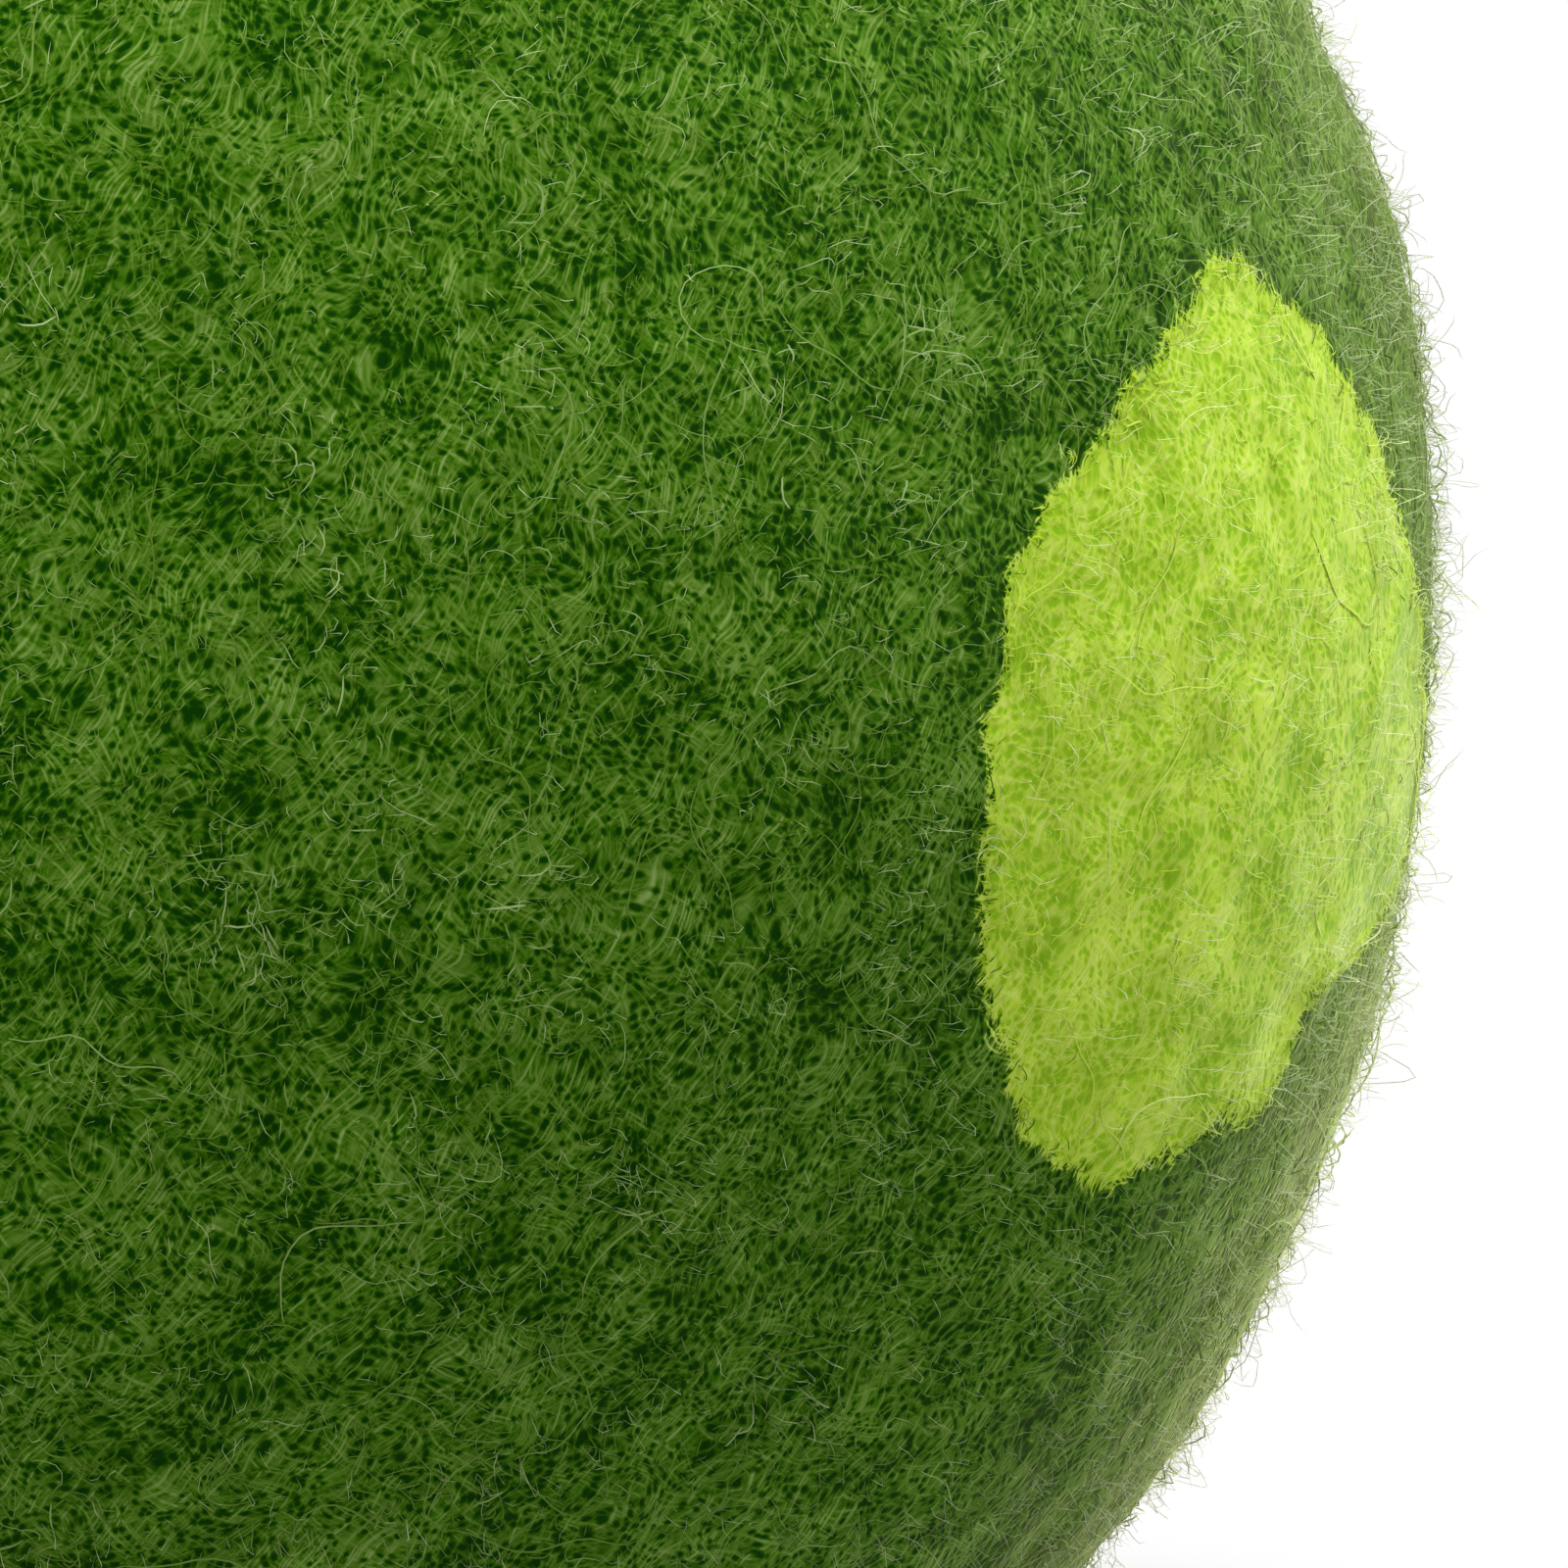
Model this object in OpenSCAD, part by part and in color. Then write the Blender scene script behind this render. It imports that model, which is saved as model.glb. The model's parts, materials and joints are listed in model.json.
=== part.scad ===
// Rattle ball of felted wool: a dyed felt layer with round spots over a wool core,
// which wraps a closed two-piece rattle box with loose beads in it.
// The origin is the middle of the flat on which the soft ball settles, with +Z up.
// The first spot looks along +X and the rattle box lies along Y.

/* [Ball] */
// Diameter of the felted ball
ball_d = 70; // [60:1:100]
// Thickness of the dyed felt layer
felt_t = 6; // [5:0.5:10]
// Diameter of the flat on which the soft wool settles
rest_d = 10; // [6:1:16]
// Gap between the felt, the wool core and the rattle box
layer_gap = 0.15; // [0.05:0.05:0.3]

/* [Spots] */
// Diameter of a spot, straight across its rim
spot_d = 23; // [14:1:28]
// How far a spot's inner face bulges below its rim
spot_bulge = 1.5; // [1:0.1:2.5]
// Gap between a spot and its hollow in the felt
spot_gap = 0.1; // [0.05:0.05:0.3]

/* [Rattle box] */
// Bore of the rattle box
box_bore = 26; // [22:1:32]
// Wall of the rattle box
box_wall = 1.5; // [1.2:0.1:2.4]
// Rounding of the outer edges of the box
box_edge = 3.5; // [2.6:0.1:5]
// Length of the lip that slips into the lid
lip_len = 4; // [2:0.5:5]
// Radius of the snap ridge round the lip
snap_r = 0.25; // [0.15:0.05:0.35]
// Clearance between the lip and the lid
lip_gap = 0.05; // [0.02:0.01:0.1]

/* [Beads] */
// Number of beads in the box
bead_count = 6; // [3:1:8]
// Diameter of a bead
bead_d = 4; // [3:0.5:5]
// Clear space round a bead
bead_play = 0.2; // [0.1:0.05:0.4]

/* [Hidden] */
$fn = 96;
fine_fn = 320;

// Ball and core
ball_r = ball_d / 2;
rest_r = rest_d / 2;
ball_z = sqrt(ball_r * ball_r - rest_r * rest_r);
felt_inner_r = ball_r - felt_t;
core_r = felt_inner_r - layer_gap;
seam_turn = 45;

// A spot is a lens: its outer face is the ball's and its inner face is flatter
spot_r = spot_d / 2;
rim_x = sqrt(ball_r * ball_r - spot_r * spot_r);
bulge_r = (spot_r * spot_r + spot_bulge * spot_bulge) / (2 * spot_bulge);
bulge_x = rim_x - spot_bulge + bulge_r;

// Azimuth and elevation of each spot, placed by hand and about a quarter turn apart
spot_aims = [[0, 0], [93, 47], [86, -43], [182, 3], [268, 44], [273, -46]];

// Rattle box, sized by the row of beads
bead_r = bead_d / 2;
bead_pitch = bead_d + 2 * bead_play;
bore_r = box_bore / 2;
bore_half = bead_count * bead_pitch / 2;
box_r = bore_r + box_wall;
box_half = bore_half + box_wall;
inner_edge = min(box_edge - box_wall, bead_r);
lip_r = bore_r + box_wall / 2 - lip_gap;
tip_r = (lip_r - bore_r) / 2;
snap_z = lip_len / 2;
track_r = bore_r - bead_play - bead_r;

function numbered(name, count) = [for (k = [1:count]) str(name, k)];

// Moves a shape from the ball's centre to its place above the flat
module at_centre() {
    translate([0, 0, ball_z])
        children();
}

// A full ball whose seam lies between the spots
module round_ball(r) {
    rotate([0, 0, seam_turn])
        sphere(r, $fn = fine_fn);
}

// The flatter ball that cuts one spot out of the felt
module spot_cutter(aim, gap) {
    rotate([0, -aim[1], aim[0]])
        translate([bulge_x, 0, 0])
            sphere(bulge_r + gap, $fn = fine_fn);
}

module felt_shell() {
    color([0.24, 0.38, 0.08])
        difference() {
            at_centre()
                difference() {
                    round_ball(ball_r);
                    round_ball(felt_inner_r);
                    for (aim = spot_aims)
                        spot_cutter(aim, spot_gap);
                }
            translate([0, 0, -ball_d])
                cylinder(r = ball_d, h = ball_d);
        }
}

module spot(aim) {
    color([0.63, 0.76, 0.25])
        at_centre()
            intersection() {
                round_ball(ball_r);
                spot_cutter(aim, 0);
            }
}

// Half of a drum's section, with its far outer corner rounded
module drum_section(r, half, edge) {
    square([r - edge, half]);
    square([r, half - edge]);
    translate([r - edge, half - edge])
        circle(edge);
}

// Section of one half of the box, open at its middle
module box_section() {
    difference() {
        drum_section(box_r, box_half, box_edge);
        drum_section(bore_r, bore_half, inner_edge);
    }
}

// Turns a section about the box's axis, with its far end towards +Y or -Y
module turn_box(side) {
    at_centre()
        rotate([-90 * side, 0, 0])
            rotate_extrude()
                children();
}

module wool_core() {
    color([0.9, 0.86, 0.76])
        difference() {
            at_centre()
                round_ball(core_r);
            for (side = [-1, 1])
                turn_box(side)
                    drum_section(box_r + layer_gap, box_half + layer_gap, box_edge + layer_gap);
        }
}

// Section of the round-tipped lip and its snap ridge, rooted in the wall behind it
module lip_section() {
    translate([bore_r, tip_r - lip_len])
        square([lip_r - bore_r, lip_len - tip_r + box_wall]);
    translate([bore_r + tip_r, tip_r - lip_len])
        circle(tip_r);
    translate([lip_r, -snap_z])
        circle(snap_r);
}

// Half of the box that carries the lip
module rattle_box_cup() {
    color([0.93, 0.93, 0.9])
        turn_box(-1) {
            box_section();
            lip_section();
        }
}

// Half of the box that is bored out for the lip and grooved for its ridge
module rattle_box_lid() {
    color([0.86, 0.88, 0.86])
        turn_box(1)
            difference() {
                box_section();
                square([lip_r + lip_gap, lip_len + lip_gap]);
                translate([lip_r, snap_z])
                    circle(snap_r + lip_gap);
            }
}

// One loose bead at the bottom of its track round the bore
module bead(k) {
    color([0.72, 0.73, 0.75])
        translate([0, (k - (bead_count - 1) / 2) * bead_pitch, ball_z - track_r])
            sphere(bead_r);
}

felt_shell();
for (k = [0:len(spot_aims) - 1])
    spot(spot_aims[k]);
wool_core();
rattle_box_cup();
rattle_box_lid();
for (k = [0:bead_count - 1])
    bead(k);
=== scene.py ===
import json
import math
import bmesh
import bpy
import numpy as np
from mathutils import Matrix, Vector


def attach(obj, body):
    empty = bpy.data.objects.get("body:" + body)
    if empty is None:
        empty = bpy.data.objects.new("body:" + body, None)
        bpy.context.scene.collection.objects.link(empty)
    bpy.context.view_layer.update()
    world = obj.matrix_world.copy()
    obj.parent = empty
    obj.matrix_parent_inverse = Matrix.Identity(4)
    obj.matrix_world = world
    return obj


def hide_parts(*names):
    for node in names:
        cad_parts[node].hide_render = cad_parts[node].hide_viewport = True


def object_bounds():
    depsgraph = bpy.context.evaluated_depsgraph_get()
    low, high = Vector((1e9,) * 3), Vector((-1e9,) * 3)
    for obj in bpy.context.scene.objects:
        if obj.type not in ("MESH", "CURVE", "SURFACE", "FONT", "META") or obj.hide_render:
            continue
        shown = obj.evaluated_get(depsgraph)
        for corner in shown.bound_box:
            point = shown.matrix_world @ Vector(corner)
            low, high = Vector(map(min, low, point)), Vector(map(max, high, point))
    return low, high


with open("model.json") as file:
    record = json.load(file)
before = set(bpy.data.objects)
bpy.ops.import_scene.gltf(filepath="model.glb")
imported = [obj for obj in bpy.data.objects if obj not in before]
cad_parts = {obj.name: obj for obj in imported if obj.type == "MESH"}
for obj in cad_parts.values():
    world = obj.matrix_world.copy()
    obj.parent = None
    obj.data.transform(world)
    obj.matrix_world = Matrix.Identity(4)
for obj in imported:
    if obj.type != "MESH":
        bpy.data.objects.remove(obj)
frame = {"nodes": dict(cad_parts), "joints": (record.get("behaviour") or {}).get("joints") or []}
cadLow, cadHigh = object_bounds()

scene = bpy.context.scene
mm = 0.001

# The ball's size and middle come from the frame
ballRadius = (cadHigh.x - cadLow.x) / 2
ballCentre = np.array([(cadLow.x + cadHigh.x) / 2, (cadLow.y + cadHigh.y) / 2, cadHigh.z - ballRadius])
floorLift = 0.03 * mm  # lowest wool above the floor


# A close view of the ball's right half, with the first spot at the right
cameraView = {
    "azimuth": 29.2,
    "elevation": 11.6,
    "distance": 900 * mm,
    "frameWidth": 38.02 * mm,
    "moveRight": 18.87 * mm,
    "moveDown": 4.23 * mm,
    "sensor": 36.0,
    "clip": (0.01, 10),
}


def makeCamera(view):
    turn, rise = math.radians(view["azimuth"]), math.radians(view["elevation"])
    right = Vector((math.cos(turn), math.sin(turn), 0))
    back = Vector((math.sin(turn) * math.cos(rise), -math.cos(turn) * math.cos(rise), math.sin(rise)))
    up = back.cross(right)
    data = bpy.data.cameras.new("closeCamera")
    data.sensor_width = view["sensor"]
    data.lens = view["sensor"] * view["distance"] / view["frameWidth"]
    data.clip_start, data.clip_end = view["clip"]
    camera = bpy.data.objects.new("closeCamera", data)
    place = Vector(ballCentre) + back * view["distance"] + right * view["moveRight"] - up * view["moveDown"]
    facing = Matrix((right, up, back)).transposed().to_4x4()
    camera.matrix_world = Matrix.Translation(place) @ facing
    scene.collection.objects.link(camera)
    scene.camera = camera


makeCamera(cameraView)
print("camera set")


# Small helpers for node trees
def addNode(tree, kind, **values):
    node = tree.nodes.new(kind)
    for name, value in values.items():
        setattr(node, name, value)
    return node


# Sets a socket to a number, or links it to another node's output
def feed(tree, socket, value):
    if isinstance(value, (int, float)):
        socket.default_value = value
    elif value is not None:
        tree.links.new(value, socket)


def addMath(tree, operation, first, second=None, third=None, clamp=False):
    node = addNode(tree, "ShaderNodeMath", operation=operation, use_clamp=clamp)
    for socket, value in zip(node.inputs, (first, second, third)):
        feed(tree, socket, value)
    return node.outputs[0]


def addStep(tree, value, low, high):
    node = addNode(tree, "ShaderNodeMapRange", interpolation_type="SMOOTHSTEP")
    node.inputs["From Min"].default_value = low
    node.inputs["From Max"].default_value = high
    tree.links.new(value, node.inputs["Value"])
    return node.outputs[0]


def addRamp(tree, factor, stops):
    node = addNode(tree, "ShaderNodeValToRGB")
    ramp = node.color_ramp
    while len(ramp.elements) < len(stops):
        ramp.elements.new(0.5)
    for element, (place, colour) in zip(ramp.elements, stops):
        element.position = place
        element.color = (*colour, 1)
    tree.links.new(factor, node.inputs[0])
    return node.outputs[0]


def addMix(tree, factor, first, second, blend="MIX"):
    node = addNode(tree, "ShaderNodeMix", data_type="RGBA", blend_type=blend)
    for socket, value in ((node.inputs[0], factor), (node.inputs[6], first), (node.inputs[7], second)):
        feed(tree, socket, value)
    return node.outputs[2]


def addBump(tree, shader, height, strength, depth):
    node = addNode(tree, "ShaderNodeBump")
    node.inputs["Strength"].default_value = strength
    node.inputs["Distance"].default_value = depth
    tree.links.new(height, node.inputs["Height"])
    tree.links.new(node.outputs[0], shader.inputs["Normal"])


def newMaterial(name):
    material = bpy.data.materials.new(name)
    material.use_nodes = True
    tree = material.node_tree
    shader = next(n for n in tree.nodes if n.type == "BSDF_PRINCIPLED")
    return material, tree, shader


def setSockets(node, **values):
    for name, value in values.items():
        node.inputs[name.replace("_", " ")].default_value = value


# Tangled wool: short curls under layers of long hairs, each layer paler than the one below as painted shade
# and light, with a painted shadow round each hair on what lies below it, and small dark pits of painted
# shade over them all
tangleShape = {
    "roughness": 0.72,
    "spread": (1.8, 0.1),  # how much wider hairs are in the clumps, and the least
    "swayScale": 0.045,  # times the hairs' scale
    "sway": 14.0,  # hair widths
    "curls": (  # size, tone, shift
        (1.0, 0.34, (0, 0, 0)), (1.4, 0.3, (3.1, 7.7, 1.3)), (2.0, 0.26, (5.9, 2.3, 8.1))),
    # Lower layers get darker tones as painted shade, the top ones paler as painted light
    "hairs": (  # each layer's tone and turn
        (0.3, (0.55, 0, 0)), (0.36, (1.57, -0.55, 0)), (0.42, (0, 1.02, 0)), (0.48, (0.8, 0.6, 0)),
        (0.54, (-0.55, 0, 0)), (0.62, (1.57, 0.55, 0)), (0.7, (0, -1.02, 0)), (0.78, (-0.8, 0.6, 0))),
    "hairTone": (0.5, 0.8),  # how much one hair differs from the next, and the least
    "hairCore": (-0.95, 1.2),  # slope across a hair, and its value in the middle
    # Painted shadow round each hair on the layers below: its slope and reach, then how dark it is
    "hairShade": (-1.2, 2.0),
    "shadeDepth": 0.25,
    "pitScale": 1.4,  # times the curls' scale
    "pitEdge": (0.2, 0.62),
    # How dark the painted shade in the pits is, and what is left of the tone
    "pitShade": (0.92, 0.08),  # how much the pits darken, and what is left
    "pitDepth": 0.3,
}


def makeTangleGroup(shape):
    tree = bpy.data.node_groups.new("woolTangle", "ShaderNodeTree")
    tree.interface.new_socket("Vector", in_out="INPUT", socket_type="NodeSocketVector")
    for name in ("Curl Scale", "Curl Width", "Clump Scale", "Hair Scale", "Hair Width", "Hair Ring"):
        tree.interface.new_socket(name, in_out="INPUT", socket_type="NodeSocketFloat")
    for name in ("Tone", "Hairs", "Clumps", "Height"):
        tree.interface.new_socket(name, in_out="OUTPUT", socket_type="NodeSocketFloat")
    given = addNode(tree, "NodeGroupInput")
    result = addNode(tree, "NodeGroupOutput")
    vector, curlScale, curlWidth, clumpScale, hairScale, hairWidth, hairRing = given.outputs[0:7]

    def addNoise(place, scale, detail):
        noise = addNode(tree, "ShaderNodeTexNoise", noise_dimensions="3D")
        noise.inputs["Detail"].default_value = detail
        noise.inputs["Roughness"].default_value = shape["roughness"]
        tree.links.new(place, noise.inputs["Vector"])
        tree.links.new(scale, noise.inputs["Scale"])
        return noise

    # How many line widths away the line lies where the noise crosses its middle
    def addAway(noise, width):
        distance = addMath(tree, "ABSOLUTE", addMath(tree, "SUBTRACT", noise, 0.5))
        return addMath(tree, "DIVIDE", distance, width)

    clumps = addNoise(vector, clumpScale, 4).outputs[0]
    spread = addMath(tree, "MULTIPLY_ADD", clumps, *shape["spread"])

    # The vector with a slow sway, so that lines wind about
    sway = addNoise(vector, addMath(tree, "MULTIPLY", hairScale, shape["swayScale"]), 1)
    offset = addNode(tree, "ShaderNodeVectorMath", operation="SUBTRACT")
    tree.links.new(sway.outputs["Color"], offset.inputs[0])
    offset.inputs[1].default_value = (0.5, 0.5, 0.5)
    swing = addNode(tree, "ShaderNodeVectorMath", operation="SCALE")
    tree.links.new(offset.outputs[0], swing.inputs[0])
    tree.links.new(addMath(tree, "DIVIDE", shape["sway"], hairScale), swing.inputs["Scale"])
    swayed = addNode(tree, "ShaderNodeVectorMath", operation="ADD")
    tree.links.new(vector, swayed.inputs[0])
    tree.links.new(swing.outputs[0], swayed.inputs[1])

    def addMapping(shift, turn):
        mapping = addNode(tree, "ShaderNodeMapping")
        mapping.inputs["Location"].default_value = shift
        mapping.inputs["Rotation"].default_value = turn
        tree.links.new(swayed.outputs[0], mapping.inputs["Vector"])
        return mapping.outputs[0]

    # Curls between the hairs
    tone = 0.0
    for size, level, shift in shape["curls"]:
        scale = addMath(tree, "MULTIPLY", curlScale, size)
        curl = addNoise(addMapping(shift, (0, 0, 0)), scale, 1).outputs[0]
        line = addMath(tree, "SUBTRACT", 1.0, addAway(curl, curlWidth), clamp=True)
        tone = addMath(tree, "MULTIPLY_ADD", line, level, tone)

    # Hairs are long cells in rings round one axis in each layer, each hair with a tone of its own and a
    # painted shadow round it on the layers below
    hairs = 0.0
    for level, turn in shape["hairs"]:
        split = addNode(tree, "ShaderNodeSeparateXYZ")
        tree.links.new(addMapping((0, 0, 0), turn), split.inputs[0])
        around = addMath(tree, "ARCTAN2", split.outputs["Y"], split.outputs["X"])
        laid = addNode(tree, "ShaderNodeCombineXYZ")
        tree.links.new(addMath(tree, "MULTIPLY_ADD", around, hairRing, level), laid.inputs["X"])
        tree.links.new(split.outputs["Z"], laid.inputs["Y"])
        cells = addNode(tree, "ShaderNodeTexVoronoi", voronoi_dimensions="2D", feature="F1")
        tree.links.new(laid.outputs[0], cells.inputs["Vector"])
        tree.links.new(hairScale, cells.inputs["Scale"])
        width = addMath(tree, "MULTIPLY", hairWidth, spread)
        away = addMath(tree, "DIVIDE", cells.outputs["Distance"], width)
        core = addMath(tree, "MULTIPLY_ADD", away, *shape["hairCore"], clamp=True)
        shade = addMath(tree, "MULTIPLY_ADD", away, *shape["hairShade"], clamp=True)
        left = addMath(tree, "MULTIPLY_ADD", shade, -shape["shadeDepth"], 1.0)
        shaded = addMath(tree, "MULTIPLY", tone, left)
        own = addMath(tree, "MULTIPLY_ADD", cells.outputs["Color"], *shape["hairTone"])
        own = addMath(tree, "MULTIPLY", own, level)
        tone = addMath(tree, "MULTIPLY_ADD", core, addMath(tree, "SUBTRACT", own, shaded), shaded)
        hairs = addMath(tree, "MAXIMUM", hairs, core)

    # Pits between the strands, smaller in the clumps, sunk by the bump and darkened as painted shade
    pitCells = addNode(tree, "ShaderNodeTexVoronoi", voronoi_dimensions="3D", feature="F1")
    tree.links.new(swayed.outputs[0], pitCells.inputs["Vector"])
    tree.links.new(addMath(tree, "MULTIPLY", curlScale, shape["pitScale"]), pitCells.inputs["Scale"])
    pitNet = addMath(tree, "MULTIPLY", pitCells.outputs["Distance"], spread)
    pits = addStep(tree, pitNet, *shape["pitEdge"])
    tone = addMath(tree, "MULTIPLY", tone, addMath(tree, "MULTIPLY_ADD", pits, *shape["pitShade"]))
    height = addMath(tree, "MULTIPLY_ADD", pits, shape["pitDepth"], clumps)
    for socket, value in zip(result.inputs, (tone, hairs, clumps, height)):
        tree.links.new(value, socket)
    return tree


tangleGroup = makeTangleGroup(tangleShape)

feltLook = {
    "curlScale": 2600.0,  # to the metre
    "curlWidth": 0.09,
    "clumpScale": 380.0,
    "hairScale": 9000.0,
    "hairWidth": 0.32,
    "hairLength": 26,  # times its width
    "edgeHair": 0.35 * mm,  # how far lime hairs reach over a spot's edge
    "edgeCurl": 0.3 * mm,
    "edgeTone": 0.4,  # curls paler than this are lime outside the edge too
    "edgeBlur": 0.12 * mm,
    "toneStops": (0.04, 0.3, 0.6, 1.0),
    # Darker between the clumps and lighter on them: painted shade and light that follow the bump's relief
    "clumpShade": ((0.3, (0.72, 0.77, 0.66)), (0.7, (1.18, 1.15, 1.22))),
    "bump": 0.5,
    "bumpDepth": 0.1 * mm,
    "roughness": 0.95,
    "shine": 0.02,
    "sheen": 0.5,
    "sheenRoughness": 0.3,
}
# The deep tone is painted shade in the gaps and pits between the strands
greenTones = {
    "deep": (0.002, 0.03, 0.0001),
    "body": (0.028, 0.097, 0.0006),
    "pale": (0.078, 0.159, 0.015),
    "hair": (0.17, 0.262, 0.072),
}
limeTones = {
    "deep": (0.2, 0.37, 0.008),
    "body": (0.305, 0.452, 0.024),
    "pale": (0.365, 0.49, 0.062),
    "hair": (0.44, 0.54, 0.12),
}
coreTones = {
    "deep": (0.5, 0.43, 0.3),
    "body": (0.74, 0.67, 0.52),
    "pale": (0.85, 0.8, 0.68),
    "hair": (0.9, 0.86, 0.76),
}


def addWoolColour(tree, tangle, tones):
    colours = [tones[name] for name in ("deep", "body", "pale", "hair")]
    return addRamp(tree, tangle.outputs["Tone"], list(zip(feltLook["toneStops"], colours)))


# Where the second colour shows: inside the marked outline, and along hairs that cross it
def addSpotMask(tree, tangle):
    depth = addNode(tree, "ShaderNodeAttribute", attribute_name="spotDepth").outputs["Fac"]
    hairs = addMath(tree, "MULTIPLY", tangle.outputs["Hairs"], feltLook["edgeHair"])
    paler = addMath(tree, "SUBTRACT", tangle.outputs["Tone"], feltLook["edgeTone"])
    curls = addMath(tree, "MULTIPLY", paler, feltLook["edgeCurl"])
    reach = addMath(tree, "ADD", depth, addMath(tree, "ADD", hairs, curls))
    return addStep(tree, reach, -feltLook["edgeBlur"], feltLook["edgeBlur"])


def makeFeltMaterial(name, tones, spotTones, sheenTint):
    material, tree, shader = newMaterial(name)
    place = addNode(tree, "ShaderNodeTexCoord")
    tangle = addNode(tree, "ShaderNodeGroup", node_tree=tangleGroup)
    setSockets(tangle, Curl_Scale=feltLook["curlScale"], Curl_Width=feltLook["curlWidth"],
               Clump_Scale=feltLook["clumpScale"], Hair_Scale=feltLook["hairScale"],
               Hair_Width=feltLook["hairWidth"], Hair_Ring=ballRadius / feltLook["hairLength"])
    centred = addNode(tree, "ShaderNodeVectorMath", operation="SUBTRACT")
    tree.links.new(place.outputs["Object"], centred.inputs[0])
    centred.inputs[1].default_value = ballCentre
    tree.links.new(centred.outputs[0], tangle.inputs["Vector"])
    colour = addWoolColour(tree, tangle, tones)
    if spotTones:
        colour = addMix(tree, addSpotMask(tree, tangle), colour, addWoolColour(tree, tangle, spotTones))
    # Painted shade between the clumps and painted light on them, from the same noise that raises the bump
    shade = addRamp(tree, tangle.outputs["Clumps"], feltLook["clumpShade"])
    tree.links.new(addMix(tree, 1.0, colour, shade, "MULTIPLY"), shader.inputs["Base Color"])
    addBump(tree, shader, tangle.outputs["Height"], feltLook["bump"], feltLook["bumpDepth"])
    setSockets(shader, Roughness=feltLook["roughness"], Specular_IOR_Level=feltLook["shine"],
               Sheen_Weight=feltLook["sheen"], Sheen_Roughness=feltLook["sheenRoughness"],
               Sheen_Tint=(*sheenTint, 1))
    return material


fibreLook = {
    # The palest stops are painted light, reached by the fibres that stand tallest
    "greenStops": ((0.0, (0.02, 0.07, 0.0006)), (0.4, (0.056, 0.13, 0.006)),
                   (0.7, (0.1, 0.19, 0.026)), (1.0, (0.34, 0.44, 0.2))),
    "limeStops": ((0.0, (0.27, 0.45, 0.004)), (0.4, (0.36, 0.53, 0.022)),
                  (0.7, (0.44, 0.59, 0.07)), (1.0, (0.62, 0.7, 0.34))),
    # A fibre's ends are darkened as painted shade, where they go into the felt
    "ends": (0.22, 0.85),  # where the darker ends stop, along a fibre
    "roughness": 0.8,
    "shine": 0.02,
    "sheen": 1.0,
    "sheenRoughness": 0.3,
    "fuzzRoughness": 0.4,
}
sheenTints = {
    "green": (0.9, 1.0, 0.42),
    "lime": (0.7, 0.7, 0.6),
    "fuzz": (1.0, 1.0, 0.7),
    "core": (1, 0.95, 0.85),
}


# A fibre's map runs from end to end in x, and y is its own tone
def makeFibreMaterial(name, tones, endShade, sheenTint, sheenRoughness):
    material, tree, shader = newMaterial(name)
    strandMap = addNode(tree, "ShaderNodeUVMap", uv_map="OFBake")
    split = addNode(tree, "ShaderNodeSeparateXYZ")
    tree.links.new(strandMap.outputs[0], split.inputs[0])
    colour = addRamp(tree, split.outputs["Y"], tones)
    # Both ends darker, as painted shade where a fibre goes into the felt
    first, last = fibreLook["ends"]
    shades = ((0.0, endShade), (first, (1, 1, 1)), (last, (1, 1, 1)), (1.0, endShade))
    ends = addRamp(tree, split.outputs["X"], shades)
    tree.links.new(addMix(tree, 1.0, colour, ends, "MULTIPLY"), shader.inputs["Base Color"])
    setSockets(shader, Roughness=fibreLook["roughness"], Specular_IOR_Level=fibreLook["shine"],
               Sheen_Weight=fibreLook["sheen"], Sheen_Roughness=sheenRoughness,
               Sheen_Tint=(*sheenTint, 1))
    return material


greenFelt = makeFeltMaterial("greenFelt", greenTones, limeTones, sheenTints["green"])
limeFelt = makeFeltMaterial("limeFelt", greenTones, limeTones, sheenTints["lime"])
plainWool = makeFeltMaterial("plainWool", coreTones, None, sheenTints["core"])
greenFibre = makeFibreMaterial("greenFibre", fibreLook["greenStops"], (0.6, 0.7, 0.4),
                               sheenTints["green"], fibreLook["sheenRoughness"])
limeFibre = makeFibreMaterial("limeFibre", fibreLook["limeStops"], (0.85, 0.9, 0.6),
                              sheenTints["lime"], fibreLook["sheenRoughness"])
greenFuzz = makeFibreMaterial("greenFuzz", fibreLook["greenStops"], (0.8, 0.85, 0.7),
                              sheenTints["fuzz"], fibreLook["fuzzRoughness"])
limeFuzz = makeFibreMaterial("limeFuzz", fibreLook["limeStops"], (0.9, 0.95, 0.8),
                             sheenTints["fuzz"], fibreLook["fuzzRoughness"])
print("wool materials made")


# Soft lumps left by hand felting, the same for skin, spots and fibres
ballShape = {
    "skinDepth": 0.3 * mm,  # from the ball's size down to the felt's skin
    "lumpHeight": 0.18 * mm,
    "lumpSpan": (13 * mm, 26 * mm),
    "pillHeight": 0.035 * mm,
    "pillSpan": (1.8 * mm, 3.6 * mm),
    "waves": 40,
    "seed": 11,
    "fineness": 7,
    "hollowFineness": 5,
    "slopeStep": 0.05 * mm,
    "slopeAxis": (0.36, 0.48, 0.8),
}


def makeWaves(rng, count, span):
    ways = rng.normal(size=(count, 3))
    ways /= np.linalg.norm(ways, axis=1, keepdims=True)
    ways *= 2 * math.pi / rng.uniform(*span, (count, 1))
    return ways, rng.uniform(0, 2 * math.pi, count)


def waveHeight(places, waves):
    ways, starts = waves
    total = np.zeros(places.shape[:-1])
    for way, start in zip(ways, starts):
        total += np.sin(places @ way + start)
    return total / math.sqrt(len(ways) / 2)


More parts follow.
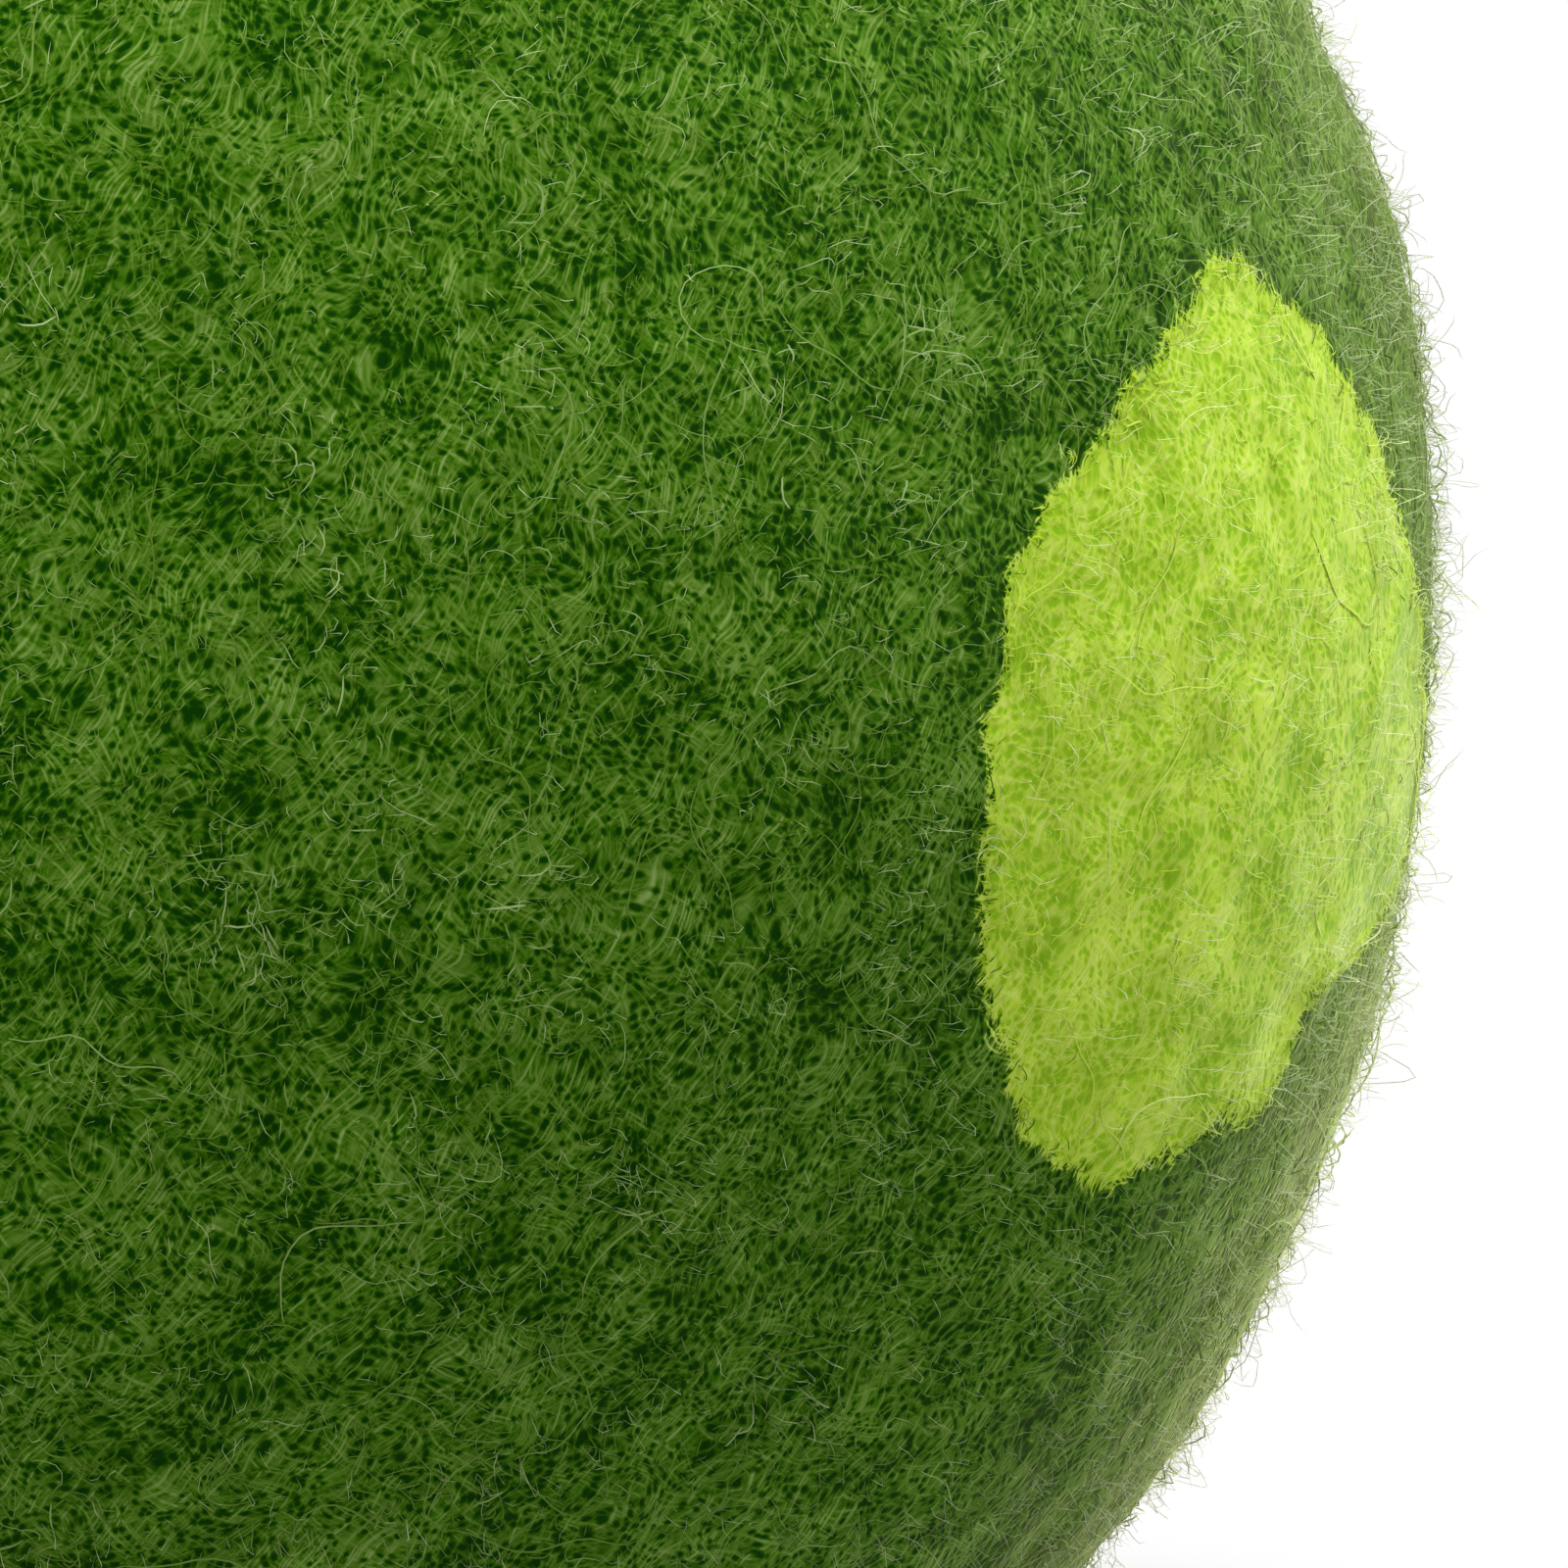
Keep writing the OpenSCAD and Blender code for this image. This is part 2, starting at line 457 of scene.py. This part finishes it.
shapeRng = np.random.default_rng(ballShape["seed"])
lumpWaves = makeWaves(shapeRng, ballShape["waves"], ballShape["lumpSpan"])
pillWaves = makeWaves(shapeRng, ballShape["waves"], ballShape["pillSpan"])


def unit(vectors):
    return vectors / np.linalg.norm(vectors, axis=-1, keepdims=True)


def skinRadius(directions):
    places = directions * ballRadius
    lumps = ballShape["lumpHeight"] * waveHeight(places, lumpWaves)
    pills = ballShape["pillHeight"] * waveHeight(places, pillWaves)
    return ballRadius - ballShape["skinDepth"] + lumps + pills


# The lumpy skin's own normals, from its slope in two ways along the ball
def skinNormals(directions):
    side = unit(np.cross(directions, ballShape["slopeAxis"]))
    middle = skinRadius(directions)
    step = ballShape["slopeStep"]
    lean = np.zeros(directions.shape)
    for way in (side, np.cross(directions, side)):
        rise = skinRadius(unit(directions + way * step / ballRadius)) - middle
        lean += way * rise[:, None] / step
    return unit(directions - lean)


def placeOnBall(directions, radii):
    places = ballCentre + directions * radii[..., None]
    places[..., 2] = np.maximum(places[..., 2], floorLift)
    return places


def meshPoints(mesh):
    flat = np.empty(len(mesh.vertices) * 3)
    mesh.vertices.foreach_get("co", flat)
    return flat.reshape(-1, 3)


def setMeshPoints(mesh, places):
    mesh.vertices.foreach_set("co", places.ravel())
    mesh.update()


def newPiece(name, mesh, material):
    for polygon in mesh.polygons:
        polygon.use_smooth = True
    mesh.materials.append(material)
    piece = bpy.data.objects.new(name, mesh)
    scene.collection.objects.link(piece)
    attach(piece, "ball")
    return piece


# A ragged round outline with a few bumps and dents
spotShape = {
    "nodes": ["spot_1", "spot_2", "spot_3", "spot_4", "spot_5", "spot_6"],
    "radius": 17.9,  # degrees, seen from the ball's middle
    "bumps": (  # where round the outline, how far out, how wide, in degrees
        (348, 4.2, 17), (82, 1.4, 8), (103, -0.9, 8), (127, -1.8, 11), (160, -0.8, 7),
        (228, 0.5, 16), (250, -0.7, 9), (272, -2.8, 14), (301, -4.6, 17)),
    "turn": 74,  # each further spot's outline is turned by this
    "jogSpan": (2.4 * mm, 6 * mm),
    "jogDepth": 0.2 * mm,
    "ragSpan": (0.6 * mm, 1.8 * mm),
    "ragDepth": 0.13 * mm,
    "padInset": 0.12 * mm,  # from the outline in to the pad under the fibres
    "lap": 0.8 * mm,  # how far a spot's rim lies flat on the felt round its dish
    "dish": 0.9 * mm,
    "seat": 0.06 * mm,
    "proud": 0.08 * mm,
    "tuck": 0.03 * mm,  # how far a spot's rim is tucked into the felt
    "tuckPower": 8,  # the higher, the nearer to the rim
    "leastDepth": 0.5 * mm,  # in a spot's middle
    "markReach": 3 * mm,
    "segments": 224,
    "rings": 26,
}
jogWaves = makeWaves(shapeRng, ballShape["waves"], spotShape["jogSpan"])
ragWaves = makeWaves(shapeRng, ballShape["waves"], spotShape["ragSpan"])


def spotAxes(node):
    middle = meshPoints(frame["nodes"][node].data).mean(axis=0) - ballCentre
    out = middle / np.linalg.norm(middle)
    side = np.cross((0, 0, 1), out)
    side /= np.linalg.norm(side)
    return out, side, np.cross(out, side)


def spotEdge(angles, index):
    edge = np.full(angles.shape, spotShape["radius"])
    for place, size, width in spotShape["bumps"]:
        turned = np.degrees(angles) - place - spotShape["turn"] * index
        turned = (turned + 180) % 360 - 180
        edge += size * np.exp(-(turned / width) ** 2)
    return np.radians(edge)


def raggedness(directions):
    places = directions * ballRadius
    jogs = spotShape["jogDepth"] * waveHeight(places, jogWaves)
    return jogs + spotShape["ragDepth"] * waveHeight(places, ragWaves)


spotFrames = [spotAxes(node) for node in spotShape["nodes"]]


# How far each direction lies inside its nearest spot, along the ball, negative outside
def spotDepth(directions):
    depth = np.full(directions.shape[:-1], -math.inf)
    for index, (out, side, up) in enumerate(spotFrames):
        away = np.arccos(np.clip(directions @ out, -1, 1))
        edge = spotEdge(np.arctan2(directions @ up, directions @ side), index)
        depth = np.maximum(depth, (edge - away) * ballRadius)
    return depth


# The dish that a spot lies in, deepest in its middle
def dishDepth(directions):
    reach = math.radians(spotShape["radius"]) * ballRadius - spotShape["lap"]
    inside = np.clip((spotDepth(directions) - spotShape["lap"]) / reach, 0, 1)
    return spotShape["dish"] * np.sqrt(inside)


# Marks each vertex with its distance inside a spot's ragged outline, for the felt's two colours
def markSpots(mesh, directions):
    layer = mesh.attributes.new("spotDepth", "FLOAT", "POINT")
    depth = spotDepth(directions) + raggedness(directions)
    reach = spotShape["markReach"]
    layer.data.foreach_set("value", np.clip(depth, -reach, reach).astype(np.float32))


# The felt layer is hollow, as deep as the solid that it stands for
def makeFeltBall():
    solid = meshPoints(frame["nodes"]["felt_shell"].data) - ballCentre
    hollow = np.linalg.norm(solid, axis=1).min()
    bm = bmesh.new()
    bmesh.ops.create_icosphere(bm, subdivisions=ballShape["fineness"], radius=1)
    outer = len(bm.verts)
    inner = bmesh.ops.create_icosphere(bm, subdivisions=ballShape["hollowFineness"], radius=hollow)
    inside = {face for vert in inner["verts"] for face in vert.link_faces}
    bmesh.ops.reverse_faces(bm, faces=list(inside))
    mesh = bpy.data.meshes.new("feltBall")
    bm.to_mesh(mesh)
    bm.free()
    places = meshPoints(mesh)
    directions = unit(places[:outer])
    places[:outer] = placeOnBall(directions, skinRadius(directions) - dishDepth(directions))
    places[outer:] += ballCentre
    setMeshPoints(mesh, places)
    markSpots(mesh, unit(places - ballCentre))
    piece = newPiece("feltBall", mesh, greenFelt)
    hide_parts("felt_shell")


# A spot starts as a globe: its upper half is the outer face and its lower half lies in the dish
def makeSpot(index):
    node = spotShape["nodes"][index]
    out, side, up = spotFrames[index]
    bm = bmesh.new()
    bmesh.ops.create_uvsphere(bm, u_segments=spotShape["segments"], v_segments=spotShape["rings"], radius=1)
    mesh = bpy.data.meshes.new("felt_" + node)
    bm.to_mesh(mesh)
    bm.free()
    globe = meshPoints(mesh)
    angles = np.arctan2(globe[:, 1], globe[:, 0])
    reach = np.arccos(np.clip(np.abs(globe[:, 2]), 0, 1)) / (math.pi / 2)
    around = np.cos(angles)[:, None] * side + np.sin(angles)[:, None] * up
    edge = spotEdge(angles, index)
    rim = np.cos(edge)[:, None] * out + np.sin(edge)[:, None] * around
    away = reach * (edge + (raggedness(rim) - spotShape["padInset"]) / ballRadius)
    directions = np.cos(away)[:, None] * out + np.sin(away)[:, None] * around
    skin = skinRadius(directions)
    within = np.clip(1 - reach, 0, 1)
    tucked = skin - spotShape["tuck"] * reach ** spotShape["tuckPower"]
    seated = skin - dishDepth(directions) + spotShape["seat"]
    bed = np.minimum(seated, tucked - within * spotShape["leastDepth"])
    proud = tucked + spotShape["proud"] * np.sqrt(within)
    nearRim = 1e-6
    upper = globe[:, 2] > nearRim
    setMeshPoints(mesh, placeOnBall(directions, np.where(upper, proud, bed)))
    markSpots(mesh, directions)
    piece = newPiece("felt_" + node, mesh, limeFelt)
    onTop = np.where(globe[:, 2] > -nearRim, 1, -1)[:, None]
    mesh.normals_split_custom_set_from_vertices(skinNormals(directions) * onTop)
    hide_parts(node)


makeFeltBall()
for index in range(len(spotShape["nodes"])):
    makeSpot(index)
print("felt ball and spots made")


# Wandering strands of wool, swept along curves with a three-sided section
curlWool = {  # crimped strands on the surface
    "count": 22000,
    "length": (0.5 * mm, 1.3 * mm),
    "points": 6,
    "width": (0.034 * mm, 0.06 * mm),
    "top": (0.04 * mm, 0.32 * mm),
    "curl": 1.0 / mm,
    "crimp": 1.3 / mm,
    "crimpLength": (1.0 * mm, 2.2 * mm),
    "comb": 0.4,
    "gather": 0.4,
    "tone": (0.42, 0.1),
    "toneClump": 0.05,
    # How much paler the fibres that stand tallest are, as painted light
    "paintedTopLight": 0.18,
    "loops": 0.7,
    "seed": 24,
}
looseWool = {  # long strands that have come loose
    "count": 1000,
    "length": (2.5 * mm, 8 * mm),
    "points": 18,
    "width": (0.036 * mm, 0.054 * mm),
    "top": (0.08 * mm, 0.22 * mm),
    "curl": 0.45 / mm,
    "crimp": 0.6 / mm,
    "crimpLength": (2 * mm, 4 * mm),
    "comb": 0.3,
    "gather": 0,
    "tone": (0.66, 0.08),
    "toneClump": 0,
    "paintedTopLight": 0,
    "loops": 1.0,
    "seed": 22,
}
hazeWool = {  # short fine ends that soften the outline
    "count": 56000,
    "length": (0.3 * mm, 0.7 * mm),
    "points": 4,
    "width": (0.016 * mm, 0.026 * mm),
    "top": (0.12 * mm, 0.65 * mm),
    "curl": 2.0 / mm,
    "crimp": 4.0 / mm,
    "crimpLength": (0.5 * mm, 1.0 * mm),
    "comb": 0.1,
    "gather": 0.3,
    "tone": (0.54, 0.1),
    "toneClump": 0,
    "paintedTopLight": 0.4,
    "loops": 0.3,
    "seed": 26,
}
fuzzWool = {  # longer ends and loops that stand off the surface
    "count": 10500,
    "length": (0.9 * mm, 2.1 * mm),
    "points": 8,
    "width": (0.018 * mm, 0.028 * mm),
    "top": (0.25 * mm, 1.0 * mm),
    "curl": 1.2 / mm,
    "crimp": 1.6 / mm,
    "crimpLength": (0.9 * mm, 2.0 * mm),
    "comb": 0.2,
    "gather": 0.5,
    "tone": (0.5, 0.1),
    "toneClump": 0,
    "paintedTopLight": 0.26,
    "loops": 0.3,
    "seed": 23,
}
edgeWool = {  # short ends that cross the spots' edges both ways
    "count": 2600,
    "length": (0.3 * mm, 0.8 * mm),
    "points": 7,
    "width": (0.024 * mm, 0.04 * mm),
    "top": (0.03 * mm, 0.14 * mm),
    "curl": 1.0 / mm,
    "crimp": 2.0 / mm,
    "crimpLength": (0.8 * mm, 1.6 * mm),
    "limeShare": 0.75,
    "inside": (0.0 * mm, 0.4 * mm),  # from the edge back to a fibre's root
    "lean": math.radians(45),
    "tone": (0.5, 0.15),
    "toneClump": 0.08,
    "paintedTopLight": 0,
    "loops": 0.5,
    "seed": 25,
}
fibreSweep = {
    "rootDepth": 0.1 * mm,
    "overlap": (0.05 * mm, 0.4 * mm),  # how far a fibre may cross a spot's edge
    "combSpan": (10 * mm, 18 * mm),
    "clumpSpan": (2.6 * mm, 6 * mm),
    "wobble": 0.09,
    "crimpRange": (0.4, 1.6),
    "topPower": 1.5,  # the higher, the fewer fibres stand tall
    "clumpRise": 0.3,
    "clumpRange": (0.4, 1.8),
    "loopPower": 0.7,
    "loopWave": 0.2,
    "endPower": (0.6, 1.3),
    "endWave": (0.12, 2.5),  # how deep, and half turns along a loose end
    "taper": 0.35,
    "heightSeed": 100,  # added to a wool's own seed
    "mapHeight": 0.01,  # share of the map that one fibre takes
    "matting": 0.7,  # how far a fibre is shaded as the ball's skin and not as a round strand
    "mostTriangles": 190000,
}
combWaves = [makeWaves(shapeRng, 6, fibreSweep["combSpan"]) for axis in range(3)]
clumpWaves = makeWaves(shapeRng, ballShape["waves"], fibreSweep["clumpSpan"])


def clumpHeight(directions):
    return waveHeight(directions * ballRadius, clumpWaves)


# Roots all over the ball, more of them in the clumps, with headings combed by the felter's hands
def rootsAllOver(rng, wool):
    tries = unit(rng.normal(size=(2 * wool["count"], 3)))
    chance = np.exp(wool["gather"] * clumpHeight(tries))
    here = tries[rng.choice(len(tries), wool["count"], replace=False, p=chance / chance.sum())]
    combed = np.stack([waveHeight(here * ballRadius, waves) for waves in combWaves], axis=1)
    heading = unit(np.cross(here, rng.normal(size=here.shape) + wool["comb"] * combed))
    return here, heading


# Roots along the spots' edges, heading out of the lime for lime fibres and into it for green ones
def rootsAtEdges(rng, wool):
    count = wool["count"]
    lime = rng.uniform(size=count) < wool["limeShare"]
    spots = rng.integers(len(spotFrames), size=count)
    angles = rng.uniform(0, 2 * math.pi, count)
    out, side, up = (np.stack([spot[k] for spot in spotFrames])[spots] for k in range(3))
    around = np.cos(angles)[:, None] * side + np.sin(angles)[:, None] * up
    edge = np.empty(count)
    for index in range(len(spotFrames)):
        edge[spots == index] = spotEdge(angles[spots == index], index)
    rim = np.cos(edge)[:, None] * out + np.sin(edge)[:, None] * around
    way = np.where(lime, 1, -1)
    edge += (raggedness(rim) - way * rng.uniform(*wool["inside"], count)) / ballRadius
    here = np.cos(edge)[:, None] * out + np.sin(edge)[:, None] * around
    outward = way[:, None] * unit(around - here * np.sum(around * here, axis=1, keepdims=True))
    lean = rng.normal(0, wool["lean"], count)[:, None]
    return here, outward * np.cos(lean) + np.cross(here, outward) * np.sin(lean), lime


# Walks over the ball from the roots with a heading that curls and crimps
def wander(rng, wool, here, heading):
    count, points = wool["count"], wool["points"]
    length = rng.uniform(*wool["length"], count)
    curl = rng.normal(0, wool["curl"], count)
    crimp = wool["crimp"] * rng.uniform(*fibreSweep["crimpRange"], count)
    crimpLength = rng.uniform(*wool["crimpLength"], count)
    start = rng.uniform(0, 2 * math.pi, count)
    step = length / (points - 1)
    path = np.empty((count, points, 3))
    for k in range(points):
        path[:, k] = here
        bend = (curl + crimp * np.sin(2 * math.pi * k * step / crimpLength + start)) * step
        bend += rng.normal(0, fibreSweep["wobble"], count)
        heading = heading * np.cos(bend)[:, None] + np.cross(here, heading) * np.sin(bend)[:, None]
        here = unit(here + heading * (step / ballRadius)[:, None])
        heading = unit(heading - here * np.sum(heading * here, axis=1, keepdims=True))
    return path


# Cuts each fibre back to the colour that its middle lies in
def keepToColour(rng, path):
    count, points, _ = path.shape
    depth = spotDepth(path) + raggedness(path)
    middle = points // 2
    inSpot = depth[:, middle] > 0
    signed = np.where(inSpot[:, None], depth, -depth)
    good = signed > -rng.uniform(*fibreSweep["overlap"], count)[:, None]
    good[:, middle] = True
    last = middle + np.sum(np.logical_and.accumulate(good[:, middle:], axis=1), axis=1) - 1
    first = middle - np.sum(np.logical_and.accumulate(good[:, middle::-1], axis=1), axis=1) + 1
    share = np.linspace(0, 1, points)
    at = first[:, None] + (last - first)[:, None] * share
    low = np.minimum(at.astype(int), points - 2)
    part = (at - low)[..., None]
    rows = np.arange(count)[:, None]
    cut = unit(path[rows, low] * (1 - part) + path[rows, low + 1] * part)
    whole = last - first >= 3
    return cut[whole], inSpot[whole]


# A loop is rooted at both ends, and a loose end only at its first
def fibreHeights(rng, wool, path):
    count, points, _ = path.shape
    share = np.linspace(0, 1, points)[None, :]
    clump = clumpHeight(path[:, points // 2])
    low, high = wool["top"]
    top = low + (high - low) * rng.uniform(0, 1, count) ** fibreSweep["topPower"]
    lift = np.clip(1 + fibreSweep["clumpRise"] * clump, *fibreSweep["clumpRange"])
    top = top * lift + fibreSweep["rootDepth"]
    start = rng.uniform(0, 2 * math.pi, count)[:, None]
    swell = 1 + fibreSweep["loopWave"] * np.sin(2 * math.pi * share + start)
    loop = np.sin(math.pi * share) ** fibreSweep["loopPower"] * swell
    depth, turns = fibreSweep["endWave"]
    bow = depth * np.sin(turns * math.pi * share + start) * share
    end = share ** rng.uniform(*fibreSweep["endPower"], count)[:, None] + bow
    rise = np.where(rng.uniform(size=count)[:, None] < wool["loops"], loop, end)
    return top[:, None] * rise - fibreSweep["rootDepth"], clump


def makeProfile():
    profile = bpy.data.curves.new("strandProfile", "CURVE")
    profile.dimensions = "2D"
    profile.fill_mode = "NONE"
    spline = profile.splines.new("POLY")
    spline.points.add(2)
    for k, point in enumerate(spline.points):
        turn = -2 * math.pi * k / 3
        point.co = (math.cos(turn), math.sin(turn), 0, 1)
    spline.use_cyclic_u = True
    holder = bpy.data.objects.new("strandProfile", profile)
    scene.collection.objects.link(holder)
    return holder


strandProfile = makeProfile()


# Maps each fibre from end to end, in a thin strip at the height of its tone
def mapFibres(mesh, points, tones):
    layer = mesh.uv_layers[0]
    layer.name = "OFBake"
    corners = np.empty(len(mesh.loops), int)
    mesh.loops.foreach_get("vertex_index", corners)
    height = fibreSweep["mapHeight"]
    around = (corners % 3) / 3
    uv = np.empty((len(mesh.loops), 2), np.float32)
    uv[:, 0] = (corners // 3) % points / (points - 1)
    uv[:, 1] = tones[corners // (3 * points)] * (1 - height) + around * height
    layer.uv.foreach_set("vector", uv.ravel())


# Leans the fibres' shading normals to the ball's own, as matted wool catches light
def matFibres(mesh):
    strand = np.empty(len(mesh.vertices) * 3, np.float32)
    mesh.vertex_normals.foreach_get("vector", strand)
    skin = unit(meshPoints(mesh) - ballCentre)
    share = fibreSweep["matting"]
    mesh.normals_split_custom_set_from_vertices(unit(skin * share + strand.reshape(-1, 3) * (1 - share)))


# Sweeps the fibres in one curve object, then makes it a mesh whose ends close to points
def sweepFibres(name, places, radii, tones, material):
    count, points, _ = places.shape
    curve = bpy.data.curves.new(name, "CURVE")
    curve.dimensions = "3D"
    curve.bevel_mode = "OBJECT"
    curve.bevel_object = strandProfile
    flat = np.ones((count, points, 4), np.float32)
    flat[..., :3] = places
    for k in range(count):
        spline = curve.splines.new("POLY")
        spline.points.add(points - 1)
        spline.points.foreach_set("co", flat[k].ravel())
        spline.points.foreach_set("radius", radii[k])
    holder = bpy.data.objects.new(name, curve)
    scene.collection.objects.link(holder)
    swept = holder.evaluated_get(bpy.context.evaluated_depsgraph_get())
    mesh = bpy.data.meshes.new_from_object(swept)
    mesh.name = name
    bpy.data.objects.remove(holder)
    bpy.data.curves.remove(curve)
    mapFibres(mesh, points, tones)
    bm = bmesh.new()
    bm.from_mesh(mesh)
    bmesh.ops.remove_doubles(bm, verts=bm.verts, dist=1e-8)
    bm.to_mesh(mesh)
    bm.free()
    newPiece(name, mesh, material)
    matFibres(mesh)


def makeWool(name, wool, path, inSpot, greenLook=greenFibre, limeLook=limeFibre):
    rng = np.random.default_rng(wool["seed"] + fibreSweep["heightSeed"])
    count, points, _ = path.shape
    heights, clump = fibreHeights(rng, wool, path)
    places = placeOnBall(path, skinRadius(path) + heights)
    share = np.linspace(0, 1, points)
    shape = np.sin(math.pi * share) ** fibreSweep["taper"]
    shape[[0, -1]] = 0
    radii = (rng.uniform(*wool["width"], count)[:, None] / 2 * shape).astype(np.float32)
    lift = heights.max(axis=1) / wool["top"][1]
    # Fibres that stand taller are paler, as painted light
    tones = rng.normal(*wool["tone"], count) + wool["toneClump"] * clump + wool["paintedTopLight"] * lift
    tones = np.clip(tones, 0, 1)
    most = fibreSweep["mostTriangles"] // (6 * points - 12)
    for colour, chosen, material in (("green", ~inSpot, greenLook), ("lime", inSpot, limeLook)):
        rows = np.flatnonzero(chosen)
        for part, group in enumerate(np.array_split(rows, math.ceil(len(rows) / most))):
            sweepFibres(f"{colour}{name}_{part + 1}", places[group], radii[group], tones[group],
                        material)


for name, wool, looks in (("CurlWool", curlWool, ()), ("LooseWool", looseWool, ()),
                          ("HazeWool", hazeWool, (greenFuzz, limeFuzz)),
                          ("FuzzWool", fuzzWool, (greenFuzz, limeFuzz))):
    woolRng = np.random.default_rng(wool["seed"])
    woolPath = wander(woolRng, wool, *rootsAllOver(woolRng, wool))
    makeWool(name, wool, *keepToColour(woolRng, woolPath), *looks)
edgeRng = np.random.default_rng(edgeWool["seed"])
edgeRoots, edgeHeadings, edgeLime = rootsAtEdges(edgeRng, edgeWool)
makeWool("EdgeWool", edgeWool, wander(edgeRng, edgeWool, edgeRoots, edgeHeadings), edgeLime)
bpy.data.objects.remove(strandProfile)
print("wool fibres made")


# The core, the rattle box and the beads keep their solids and get finishes
def dressNode(node, material):
    mesh = frame["nodes"][node].data
    mesh.materials.clear()
    mesh.materials.append(material)


def addObjectNoise(tree, scale, detail):
    place = addNode(tree, "ShaderNodeTexCoord")
    noise = addNode(tree, "ShaderNodeTexNoise", noise_dimensions="3D")
    noise.inputs["Scale"].default_value = scale
    noise.inputs["Detail"].default_value = detail
    tree.links.new(place.outputs["Object"], noise.inputs["Vector"])
    return noise.outputs[0]


boxLook = {
    "tones": ((0.3, (0.78, 0.78, 0.72)), (0.7, (0.86, 0.86, 0.82))),
    "cloud": (90, 2),  # scale to the metre, and detail
    "grain": (2600, 3),
    "roughness": (0.25, 0.32),  # how much the grain adds, and the least
    "bump": 0.15,
    "bumpDepth": 0.02 * mm,
}
beadLook = {
    "tones": ((0.35, (0.5, 0.5, 0.52)), (0.65, (0.64, 0.64, 0.66))),
    "scuff": (1500, 4),
    "roughness": (0.2, 0.08),
}


def makeBoxPlastic(look):
    material, tree, shader = newMaterial("boxPlastic")
    grain = addObjectNoise(tree, *look["grain"])
    colour = addRamp(tree, addObjectNoise(tree, *look["cloud"]), look["tones"])
    tree.links.new(colour, shader.inputs["Base Color"])
    tree.links.new(addMath(tree, "MULTIPLY_ADD", grain, *look["roughness"]), shader.inputs["Roughness"])
    addBump(tree, shader, grain, look["bump"], look["bumpDepth"])
    return material


def makeBeadSteel(look):
    material, tree, shader = newMaterial("beadSteel")
    scuff = addObjectNoise(tree, *look["scuff"])
    tree.links.new(addRamp(tree, scuff, look["tones"]), shader.inputs["Base Color"])
    tree.links.new(addMath(tree, "MULTIPLY_ADD", scuff, *look["roughness"]), shader.inputs["Roughness"])
    setSockets(shader, Metallic=1.0)
    return material


boxPlastic = makeBoxPlastic(boxLook)
beadSteel = makeBeadSteel(beadLook)
dressNode("wool_core", plainWool)
for node in ("rattle_box_cup", "rattle_box_lid"):
    dressNode(node, boxPlastic)
for joint in frame["joints"]:
    dressNode(joint["child"], beadSteel)
print("inner pieces dressed")


# A pale floor that keeps the shadow near the ball, and soft light
stageSet = {
    "floorSize": 3.0,
    "floorColour": (0.4, 0.4, 0.4),
    "floorRoughness": 0.8,
    "floorShine": 0.1,
    "shadowReach": 42 * mm,
    "whiteFrom": 60 * mm,
    "worldLight": 0.24,
    "lamps": (  # name, place, width, watts
        ("keyLamp", (-0.25, -0.7, 1.0), 0.7, 17.5),
        ("fillLamp", (1.0, -0.45, 0.6), 0.8, 3.5),
        ("rimLamp", (0.45, 0.75, 1.0), 0.7, 30.0),
    ),
}


def seenDirectly(tree):
    path = addNode(tree, "ShaderNodeLightPath")
    seen = addMath(tree, "MAXIMUM", path.outputs["Is Camera Ray"], path.outputs["Is Glossy Ray"])
    return addMath(tree, "MAXIMUM", seen, path.outputs["Is Transmission Ray"])


def makeFloor():
    bm = bmesh.new()
    bmesh.ops.create_grid(bm, x_segments=1, y_segments=1, size=stageSet["floorSize"])
    mesh = bpy.data.meshes.new("studioFloor")
    bm.to_mesh(mesh)
    bm.free()
    material, tree, shader = newMaterial("studioFloor")
    setSockets(shader, Base_Color=(*stageSet["floorColour"], 1), Roughness=stageSet["floorRoughness"],
               Specular_IOR_Level=stageSet["floorShine"])
    place = addNode(tree, "ShaderNodeTexCoord")
    length = addNode(tree, "ShaderNodeVectorMath", operation="LENGTH")
    tree.links.new(place.outputs["Object"], length.inputs[0])
    fade = addStep(tree, length.outputs["Value"], stageSet["shadowReach"], stageSet["whiteFrom"])
    white = addNode(tree, "ShaderNodeEmission")
    white.inputs["Color"].default_value = (1, 1, 1, 1)
    mix = addNode(tree, "ShaderNodeMixShader")
    tree.links.new(addMath(tree, "MULTIPLY", fade, seenDirectly(tree)), mix.inputs[0])
    tree.links.new(shader.outputs[0], mix.inputs[1])
    tree.links.new(white.outputs[0], mix.inputs[2])
    output = next(n for n in tree.nodes if n.type == "OUTPUT_MATERIAL")
    tree.links.new(mix.outputs[0], output.inputs["Surface"])
    mesh.materials.append(material)
    floor = bpy.data.objects.new("studioFloor", mesh)
    scene.collection.objects.link(floor)


def makeWorld():
    world = bpy.data.worlds.new("studioWorld")
    world.use_nodes = True
    scene.world = world
    tree = world.node_tree
    background = next(n for n in tree.nodes if n.type == "BACKGROUND")
    background.inputs["Color"].default_value = (1, 1, 1, 1)
    strength = addMath(tree, "MAXIMUM", seenDirectly(tree), stageSet["worldLight"])
    tree.links.new(strength, background.inputs["Strength"])


def makeLamps():
    for name, place, width, watts in stageSet["lamps"]:
        data = bpy.data.lights.new(name, "AREA")
        data.size = width
        data.energy = watts
        lamp = bpy.data.objects.new(name, data)
        lamp.location = place
        lamp.rotation_mode = "QUATERNION"
        lamp.rotation_quaternion = (Vector(ballCentre) - Vector(place)).to_track_quat("-Z", "Y")
        lamp.visible_camera = False
        scene.collection.objects.link(lamp)


makeFloor()
makeWorld()
makeLamps()
scene.view_settings.view_transform = "Standard"
print("stage and light set")
